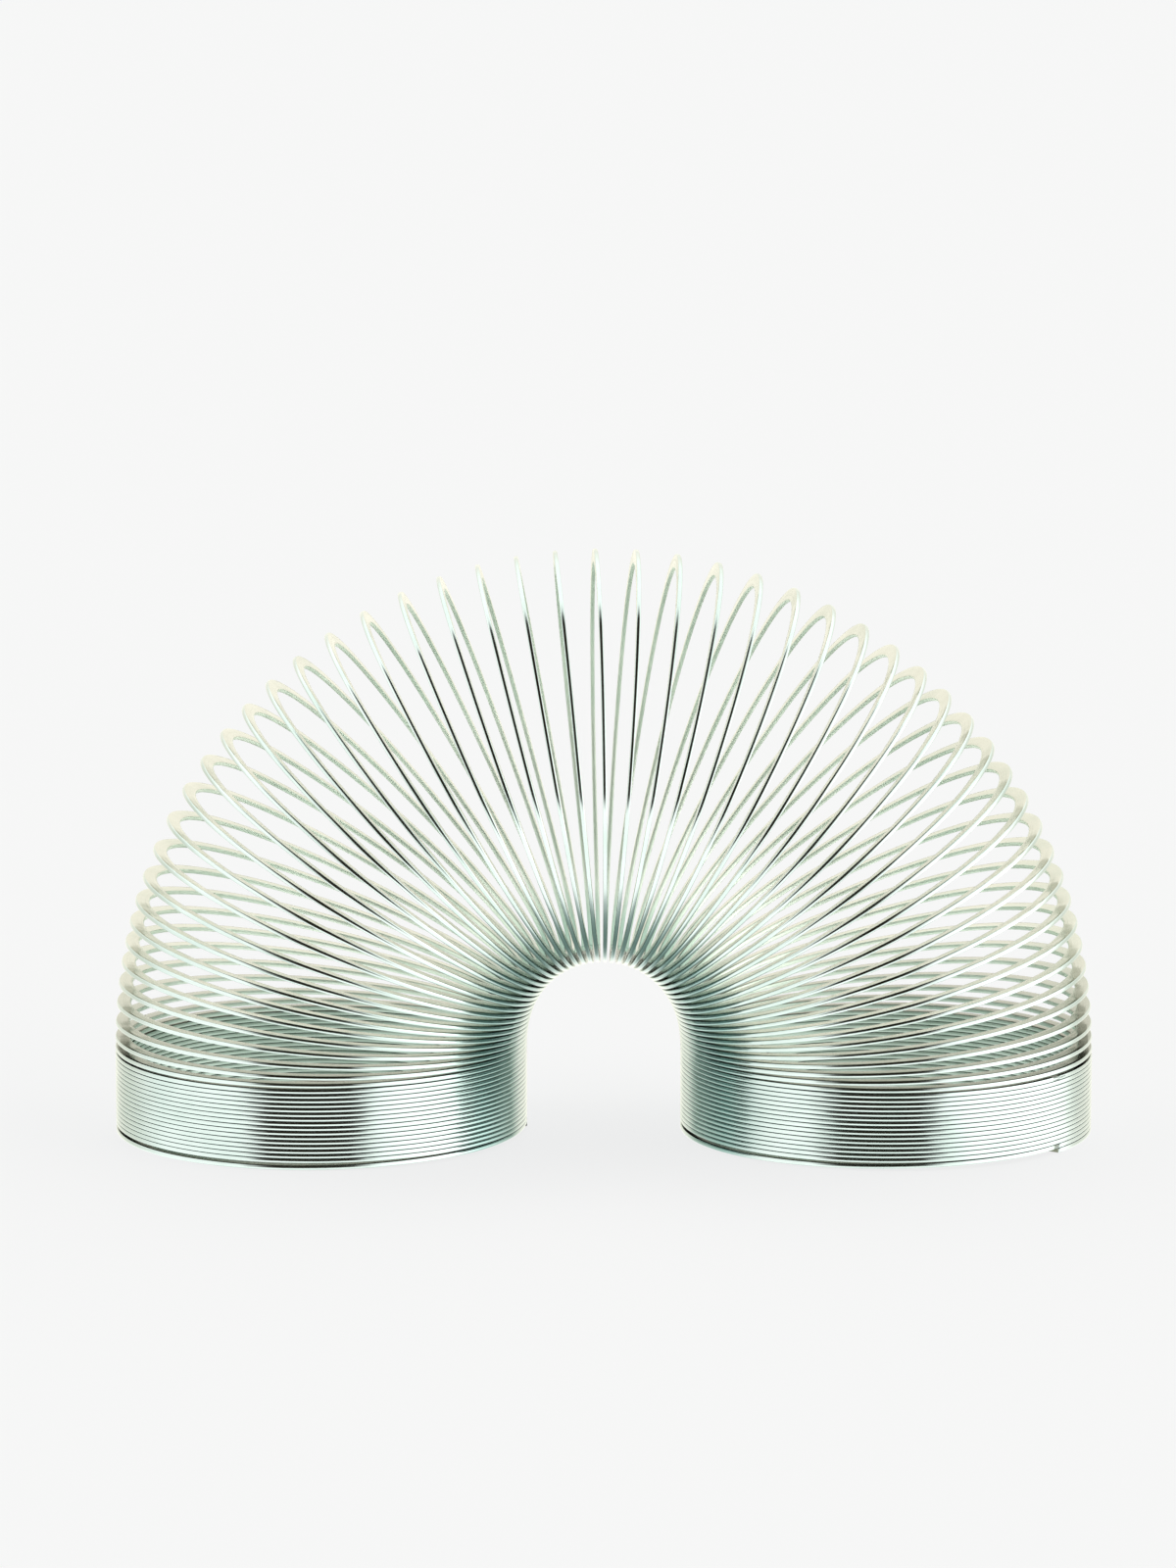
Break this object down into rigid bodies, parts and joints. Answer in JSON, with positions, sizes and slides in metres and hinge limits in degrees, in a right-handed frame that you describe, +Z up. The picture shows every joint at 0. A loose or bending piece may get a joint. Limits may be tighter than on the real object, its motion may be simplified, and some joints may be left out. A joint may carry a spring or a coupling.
{
  "type": "walking coil spring toy",
  "caption": "Flat-wire coil spring toy standing as an arch on its two closed ends; it bends turn by turn, from the arch down to one straight closed stack.",
  "frame": {"origin": "on the floor, midway between the outermost points of the two feet", "axes": "+X from the left foot to the right foot, +Y towards the back, +Z up"},
  "size_m": [0.1662, 0.07, 0.0991],
  "materials": {
    "bright_wire": "bright plated spring steel, flat rolled, with fine drawn lines along the wire"
  },
  "bodies": {
    "left_foot": {"left_end_turn": "bright_wire", "left_foot_coils": "bright_wire"},
    "turn_01": {"turn_01": "bright_wire"},
    "turn_02": {"turn_02": "bright_wire"},
    "turn_03": {"turn_03": "bright_wire"},
    "turn_04": {"turn_04": "bright_wire"},
    "turn_05": {"turn_05": "bright_wire"},
    "turn_06": {"turn_06": "bright_wire"},
    "turn_07": {"turn_07": "bright_wire"},
    "turn_08": {"turn_08": "bright_wire"},
    "turn_09": {"turn_09": "bright_wire"},
    "turn_10": {"turn_10": "bright_wire"},
    "turn_11": {"turn_11": "bright_wire"},
    "turn_12": {"turn_12": "bright_wire"},
    "turn_13": {"turn_13": "bright_wire"},
    "turn_14": {"turn_14": "bright_wire"},
    "turn_15": {"turn_15": "bright_wire"},
    "turn_16": {"turn_16": "bright_wire"},
    "turn_17": {"turn_17": "bright_wire"},
    "turn_18": {"turn_18": "bright_wire"},
    "turn_19": {"turn_19": "bright_wire"},
    "turn_20": {"turn_20": "bright_wire"},
    "turn_21": {"turn_21": "bright_wire"},
    "turn_22": {"turn_22": "bright_wire"},
    "turn_23": {"turn_23": "bright_wire"},
    "turn_24": {"turn_24": "bright_wire"},
    "turn_25": {"turn_25": "bright_wire"},
    "turn_26": {"turn_26": "bright_wire"},
    "turn_27": {"turn_27": "bright_wire"},
    "turn_28": {"turn_28": "bright_wire"},
    "turn_29": {"turn_29": "bright_wire"},
    "turn_30": {"turn_30": "bright_wire"},
    "turn_31": {"turn_31": "bright_wire"},
    "turn_32": {"turn_32": "bright_wire"},
    "turn_33": {"turn_33": "bright_wire"},
    "turn_34": {"turn_34": "bright_wire"},
    "turn_35": {"turn_35": "bright_wire"},
    "turn_36": {"turn_36": "bright_wire"},
    "turn_37": {"turn_37": "bright_wire"},
    "turn_38": {"turn_38": "bright_wire"},
    "turn_39": {"turn_39": "bright_wire"},
    "turn_40": {"turn_40": "bright_wire"},
    "turn_41": {"turn_41": "bright_wire"},
    "turn_42": {"turn_42": "bright_wire"},
    "turn_43": {"turn_43": "bright_wire"},
    "turn_44": {"turn_44": "bright_wire"},
    "turn_45": {"turn_45": "bright_wire"},
    "turn_46": {"turn_46": "bright_wire"},
    "turn_47": {"turn_47": "bright_wire"},
    "turn_48": {"turn_48": "bright_wire"},
    "turn_49": {"turn_49": "bright_wire"},
    "turn_50": {"turn_50": "bright_wire"},
    "turn_51": {"turn_51": "bright_wire"},
    "turn_52": {"turn_52": "bright_wire"},
    "turn_53": {"turn_53": "bright_wire"},
    "right_foot": {"right_foot_coils": "bright_wire", "right_end_turn": "bright_wire"}
  },
  "joints": [
    {"name": "hinge_01", "type": "hinge", "parent": "left_foot", "child": "turn_01", "pos_m": [-0.01425, 0, 0.01282], "axis": [0, -1, 0], "range_deg": [0, 0.049]},
    {"name": "hinge_02", "type": "hinge", "parent": "turn_01", "child": "turn_02", "pos_m": [-0.01425, 0, 0.01356], "axis": [0, -1, 0], "range_deg": [0, 0.239]},
    {"name": "hinge_03", "type": "hinge", "parent": "turn_02", "child": "turn_03", "pos_m": [-0.01425, 0, 0.0143], "axis": [0, -1, 0], "range_deg": [0, 0.6688]},
    {"name": "hinge_04", "type": "hinge", "parent": "turn_03", "child": "turn_04", "pos_m": [-0.01423, 0, 0.01505], "axis": [0, -1, 0], "range_deg": [0, 1.46]},
    {"name": "hinge_05", "type": "hinge", "parent": "turn_04", "child": "turn_05", "pos_m": [-0.0142, 0, 0.01581], "axis": [0, -1, 0], "range_deg": [0, 2.05]},
    {"name": "hinge_06", "type": "hinge", "parent": "turn_05", "child": "turn_06", "pos_m": [-0.01413, 0, 0.01658], "axis": [0, -1, 0], "range_deg": [0, 2.21]},
    {"name": "hinge_07", "type": "hinge", "parent": "turn_06", "child": "turn_07", "pos_m": [-0.01403, 0, 0.01735], "axis": [0, -1, 0], "range_deg": [0, 2.21]},
    {"name": "hinge_08", "type": "hinge", "parent": "turn_07", "child": "turn_08", "pos_m": [-0.0139, 0, 0.01814], "axis": [0, -1, 0], "range_deg": [0, 2.21]},
    {"name": "hinge_09", "type": "hinge", "parent": "turn_08", "child": "turn_09", "pos_m": [-0.01374, 0, 0.01894], "axis": [0, -1, 0], "range_deg": [0, 2.21]},
    {"name": "hinge_10", "type": "hinge", "parent": "turn_09", "child": "turn_10", "pos_m": [-0.01353, 0, 0.01976], "axis": [0, -1, 0], "range_deg": [0, 2.33]},
    {"name": "hinge_11", "type": "hinge", "parent": "turn_10", "child": "turn_11", "pos_m": [-0.01329, 0, 0.02058], "axis": [0, -1, 0], "range_deg": [0, 2.73]},
    {"name": "hinge_12", "type": "hinge", "parent": "turn_11", "child": "turn_12", "pos_m": [-0.013, 0, 0.02141], "axis": [0, -1, 0], "range_deg": [0, 3.31]},
    {"name": "hinge_13", "type": "hinge", "parent": "turn_12", "child": "turn_13", "pos_m": [-0.01265, 0, 0.02225], "axis": [0, -1, 0], "range_deg": [0, 3.72]},
    {"name": "hinge_14", "type": "hinge", "parent": "turn_13", "child": "turn_14", "pos_m": [-0.01223, 0, 0.02308], "axis": [0, -1, 0], "range_deg": [0, 3.83]},
    {"name": "hinge_15", "type": "hinge", "parent": "turn_14", "child": "turn_15", "pos_m": [-0.01174, 0, 0.0239], "axis": [0, -1, 0], "range_deg": [0, 3.81]},
    {"name": "hinge_16", "type": "hinge", "parent": "turn_15", "child": "turn_16", "pos_m": [-0.01119, 0, 0.02471], "axis": [0, -1, 0], "range_deg": [0, 3.77]},
    {"name": "hinge_17", "type": "hinge", "parent": "turn_16", "child": "turn_17", "pos_m": [-0.01056, 0, 0.0255], "axis": [0, -1, 0], "range_deg": [0, 3.75]},
    {"name": "hinge_18", "type": "hinge", "parent": "turn_17", "child": "turn_18", "pos_m": [-0.00986, 0, 0.02626], "axis": [0, -1, 0], "range_deg": [0, 3.83]},
    {"name": "hinge_19", "type": "hinge", "parent": "turn_18", "child": "turn_19", "pos_m": [-0.0091, 0, 0.02698], "axis": [0, -1, 0], "range_deg": [0, 4.12]},
    {"name": "hinge_20", "type": "hinge", "parent": "turn_19", "child": "turn_20", "pos_m": [-0.00827, 0, 0.02766], "axis": [0, -1, 0], "range_deg": [0, 4.52]},
    {"name": "hinge_21", "type": "hinge", "parent": "turn_20", "child": "turn_21", "pos_m": [-0.00737, 0, 0.02828], "axis": [0, -1, 0], "range_deg": [0, 4.81]},
    {"name": "hinge_22", "type": "hinge", "parent": "turn_21", "child": "turn_22", "pos_m": [-0.00641, 0, 0.02883], "axis": [0, -1, 0], "range_deg": [0, 4.86]},
    {"name": "hinge_23", "type": "hinge", "parent": "turn_22", "child": "turn_23", "pos_m": [-0.00539, 0, 0.0293], "axis": [0, -1, 0], "range_deg": [0, 4.74]},
    {"name": "hinge_24", "type": "hinge", "parent": "turn_23", "child": "turn_24", "pos_m": [-0.00432, 0, 0.02968], "axis": [0, -1, 0], "range_deg": [0, 4.57]},
    {"name": "hinge_25", "type": "hinge", "parent": "turn_24", "child": "turn_25", "pos_m": [-0.00321, 0, 0.02997], "axis": [0, -1, 0], "range_deg": [0, 4.45]},
    {"name": "hinge_26", "type": "hinge", "parent": "turn_25", "child": "turn_26", "pos_m": [-0.00207, 0, 0.03017], "axis": [0, -1, 0], "range_deg": [0, 4.44]},
    {"name": "hinge_27", "type": "hinge", "parent": "turn_26", "child": "turn_27", "pos_m": [-0.00092, 0, 0.03029], "axis": [0, -1, 0], "range_deg": [0, 4.54]},
    {"name": "hinge_28", "type": "hinge", "parent": "turn_27", "child": "turn_28", "pos_m": [0.00024, 0, 0.0303], "axis": [0, -1, 0], "range_deg": [0, 4.67]},
    {"name": "hinge_29", "type": "hinge", "parent": "turn_28", "child": "turn_29", "pos_m": [0.0014, 0, 0.03022], "axis": [0, -1, 0], "range_deg": [0, 4.77]},
    {"name": "hinge_30", "type": "hinge", "parent": "turn_29", "child": "turn_30", "pos_m": [0.00254, 0, 0.03004], "axis": [0, -1, 0], "range_deg": [0, 4.77]},
    {"name": "hinge_31", "type": "hinge", "parent": "turn_30", "child": "turn_31", "pos_m": [0.00365, 0, 0.02977], "axis": [0, -1, 0], "range_deg": [0, 4.67]},
    {"name": "hinge_32", "type": "hinge", "parent": "turn_31", "child": "turn_32", "pos_m": [0.00473, 0, 0.0294], "axis": [0, -1, 0], "range_deg": [0, 4.54]},
    {"name": "hinge_33", "type": "hinge", "parent": "turn_32", "child": "turn_33", "pos_m": [0.00576, 0, 0.02895], "axis": [0, -1, 0], "range_deg": [0, 4.44]},
    {"name": "hinge_34", "type": "hinge", "parent": "turn_33", "child": "turn_34", "pos_m": [0.00673, 0, 0.02843], "axis": [0, -1, 0], "range_deg": [0, 4.37]},
    {"name": "hinge_35", "type": "hinge", "parent": "turn_34", "child": "turn_35", "pos_m": [0.00765, 0, 0.02784], "axis": [0, -1, 0], "range_deg": [0, 4.2]},
    {"name": "hinge_36", "type": "hinge", "parent": "turn_35", "child": "turn_36", "pos_m": [0.00851, 0, 0.02719], "axis": [0, -1, 0], "range_deg": [0, 3.96]},
    {"name": "hinge_37", "type": "hinge", "parent": "turn_36", "child": "turn_37", "pos_m": [0.0093, 0, 0.0265], "axis": [0, -1, 0], "range_deg": [0, 3.79]},
    {"name": "hinge_38", "type": "hinge", "parent": "turn_37", "child": "turn_38", "pos_m": [0.01002, 0, 0.02577], "axis": [0, -1, 0], "range_deg": [0, 3.72]},
    {"name": "hinge_39", "type": "hinge", "parent": "turn_38", "child": "turn_39", "pos_m": [0.01068, 0, 0.02501], "axis": [0, -1, 0], "range_deg": [0, 3.65]},
    {"name": "hinge_40", "type": "hinge", "parent": "turn_39", "child": "turn_40", "pos_m": [0.01127, 0, 0.02423], "axis": [0, -1, 0], "range_deg": [0, 3.55]},
    {"name": "hinge_41", "type": "hinge", "parent": "turn_40", "child": "turn_41", "pos_m": [0.0118, 0, 0.02343], "axis": [0, -1, 0], "range_deg": [0, 3.48]},
    {"name": "hinge_42", "type": "hinge", "parent": "turn_41", "child": "turn_42", "pos_m": [0.01227, 0, 0.02262], "axis": [0, -1, 0], "range_deg": [0, 3.4]},
    {"name": "hinge_43", "type": "hinge", "parent": "turn_42", "child": "turn_43", "pos_m": [0.01267, 0, 0.02181], "axis": [0, -1, 0], "range_deg": [0, 3.21]},
    {"name": "hinge_44", "type": "hinge", "parent": "turn_43", "child": "turn_44", "pos_m": [0.01301, 0, 0.02099], "axis": [0, -1, 0], "range_deg": [0, 2.94]},
    {"name": "hinge_45", "type": "hinge", "parent": "turn_44", "child": "turn_45", "pos_m": [0.0133, 0, 0.02019], "axis": [0, -1, 0], "range_deg": [0, 2.74]},
    {"name": "hinge_46", "type": "hinge", "parent": "turn_45", "child": "turn_46", "pos_m": [0.01355, 0, 0.01939], "axis": [0, -1, 0], "range_deg": [0, 2.65]},
    {"name": "hinge_47", "type": "hinge", "parent": "turn_46", "child": "turn_47", "pos_m": [0.01375, 0, 0.01859], "axis": [0, -1, 0], "range_deg": [0, 2.53]},
    {"name": "hinge_48", "type": "hinge", "parent": "turn_47", "child": "turn_48", "pos_m": [0.01391, 0, 0.01781], "axis": [0, -1, 0], "range_deg": [0, 2.36]},
    {"name": "hinge_49", "type": "hinge", "parent": "turn_48", "child": "turn_49", "pos_m": [0.01404, 0, 0.01704], "axis": [0, -1, 0], "range_deg": [0, 2.24]},
    {"name": "hinge_50", "type": "hinge", "parent": "turn_49", "child": "turn_50", "pos_m": [0.01413, 0, 0.01627], "axis": [0, -1, 0], "range_deg": [0, 2.11]},
    {"name": "hinge_51", "type": "hinge", "parent": "turn_50", "child": "turn_51", "pos_m": [0.01419, 0, 0.01552], "axis": [0, -1, 0], "range_deg": [0, 1.77]},
    {"name": "hinge_52", "type": "hinge", "parent": "turn_51", "child": "turn_52", "pos_m": [0.01423, 0, 0.01477], "axis": [0, -1, 0], "range_deg": [0, 1.29]},
    {"name": "hinge_53", "type": "hinge", "parent": "turn_52", "child": "turn_53", "pos_m": [0.01425, 0, 0.01403], "axis": [0, -1, 0], "range_deg": [0, 0.9629]},
    {"name": "hinge_54", "type": "hinge", "parent": "turn_53", "child": "right_foot", "pos_m": [0.01425, 0, 0.01329], "axis": [0, -1, 0], "range_deg": [0, 0.331]}
  ],
  "couplings": [
    {"joint": "hinge_01", "follows": "hinge_22", "ratio": 0.009875},
    {"joint": "hinge_02", "follows": "hinge_22", "ratio": 0.048988},
    {"joint": "hinge_03", "follows": "hinge_22", "ratio": 0.13746},
    {"joint": "hinge_04", "follows": "hinge_22", "ratio": 0.30063},
    {"joint": "hinge_05", "follows": "hinge_22", "ratio": 0.42243},
    {"joint": "hinge_06", "follows": "hinge_22", "ratio": 0.45424},
    {"joint": "hinge_07", "follows": "hinge_22", "ratio": 0.45424},
    {"joint": "hinge_08", "follows": "hinge_22", "ratio": 0.45424},
    {"joint": "hinge_09", "follows": "hinge_22", "ratio": 0.45424},
    {"joint": "hinge_10", "follows": "hinge_22", "ratio": 0.47883},
    {"joint": "hinge_11", "follows": "hinge_22", "ratio": 0.56276},
    {"joint": "hinge_12", "follows": "hinge_22", "ratio": 0.68146},
    {"joint": "hinge_13", "follows": "hinge_22", "ratio": 0.7654},
    {"joint": "hinge_14", "follows": "hinge_22", "ratio": 0.78854},
    {"joint": "hinge_15", "follows": "hinge_22", "ratio": 0.7836},
    {"joint": "hinge_16", "follows": "hinge_22", "ratio": 0.77662},
    {"joint": "hinge_17", "follows": "hinge_22", "ratio": 0.77168},
    {"joint": "hinge_18", "follows": "hinge_22", "ratio": 0.78759},
    {"joint": "hinge_19", "follows": "hinge_22", "ratio": 0.84684},
    {"joint": "hinge_20", "follows": "hinge_22", "ratio": 0.93063},
    {"joint": "hinge_21", "follows": "hinge_22", "ratio": 0.98988},
    {"joint": "hinge_23", "follows": "hinge_22", "ratio": 0.97531},
    {"joint": "hinge_24", "follows": "hinge_22", "ratio": 0.9404},
    {"joint": "hinge_25", "follows": "hinge_22", "ratio": 0.91571},
    {"joint": "hinge_26", "follows": "hinge_22", "ratio": 0.91427},
    {"joint": "hinge_27", "follows": "hinge_22", "ratio": 0.93402},
    {"joint": "hinge_28", "follows": "hinge_29", "ratio": 0.97988},
    {"joint": "hinge_30", "follows": "hinge_29", "ratio": 1},
    {"joint": "hinge_31", "follows": "hinge_29", "ratio": 0.97988},
    {"joint": "hinge_32", "follows": "hinge_29", "ratio": 0.95143},
    {"joint": "hinge_33", "follows": "hinge_29", "ratio": 0.93131},
    {"joint": "hinge_34", "follows": "hinge_29", "ratio": 0.91511},
    {"joint": "hinge_35", "follows": "hinge_29", "ratio": 0.8799},
    {"joint": "hinge_36", "follows": "hinge_29", "ratio": 0.83011},
    {"joint": "hinge_37", "follows": "hinge_29", "ratio": 0.79491},
    {"joint": "hinge_38", "follows": "hinge_29", "ratio": 0.78018},
    {"joint": "hinge_39", "follows": "hinge_29", "ratio": 0.76509},
    {"joint": "hinge_40", "follows": "hinge_29", "ratio": 0.74375},
    {"joint": "hinge_41", "follows": "hinge_29", "ratio": 0.72866},
    {"joint": "hinge_42", "follows": "hinge_29", "ratio": 0.71246},
    {"joint": "hinge_43", "follows": "hinge_29", "ratio": 0.67222},
    {"joint": "hinge_44", "follows": "hinge_29", "ratio": 0.61532},
    {"joint": "hinge_45", "follows": "hinge_29", "ratio": 0.57508},
    {"joint": "hinge_46", "follows": "hinge_29", "ratio": 0.55593},
    {"joint": "hinge_47", "follows": "hinge_29", "ratio": 0.53079},
    {"joint": "hinge_48", "follows": "hinge_29", "ratio": 0.49522},
    {"joint": "hinge_49", "follows": "hinge_29", "ratio": 0.47008},
    {"joint": "hinge_50", "follows": "hinge_29", "ratio": 0.44209},
    {"joint": "hinge_51", "follows": "hinge_29", "ratio": 0.37167},
    {"joint": "hinge_52", "follows": "hinge_29", "ratio": 0.27058},
    {"joint": "hinge_53", "follows": "hinge_29", "ratio": 0.20168},
    {"joint": "hinge_54", "follows": "hinge_29", "ratio": 0.069193}
  ]
}
